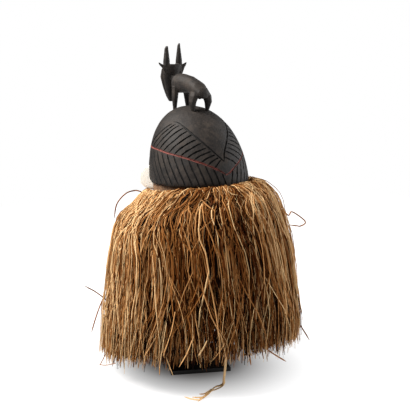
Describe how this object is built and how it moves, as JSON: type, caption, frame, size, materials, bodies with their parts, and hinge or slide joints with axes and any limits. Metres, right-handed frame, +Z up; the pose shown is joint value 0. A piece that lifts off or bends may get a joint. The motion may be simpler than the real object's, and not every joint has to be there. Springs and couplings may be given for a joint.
{
  "type": "suku helmet mask",
  "caption": "Carved wooden helmet mask with an antelope on its crown and a raffia fringe at its neck, held upright on a plate, post and rest.",
  "frame": {"origin": "on the floor, in the middle of the part's bounding box", "axes": "+Z up, the mask's face looks along -Y, the mask's own left is +X"},
  "size_m": [0.5297, 0.5294, 0.857],
  "materials": {
    "dark_wood": "dark brown-black stain with a soft grey-brown sheen, black grooves, dull red painted line, white clay on face and ears",
    "twine": "twisted plant fibre, matt",
    "raffia": "dry golden-brown raffia, softly glossy strands with dark gaps",
    "black_paint": "black satin paint",
    "felt": "black felt, matt"
  },
  "bodies": {
    "root": {"wooden_mask": "dark_wood", "fringe_cord": "twine", "raffia_fringe": "raffia", "stand_base": "black_paint", "stand_post": "black_paint", "stand_rest": "felt"}
  },
  "joints": []
}
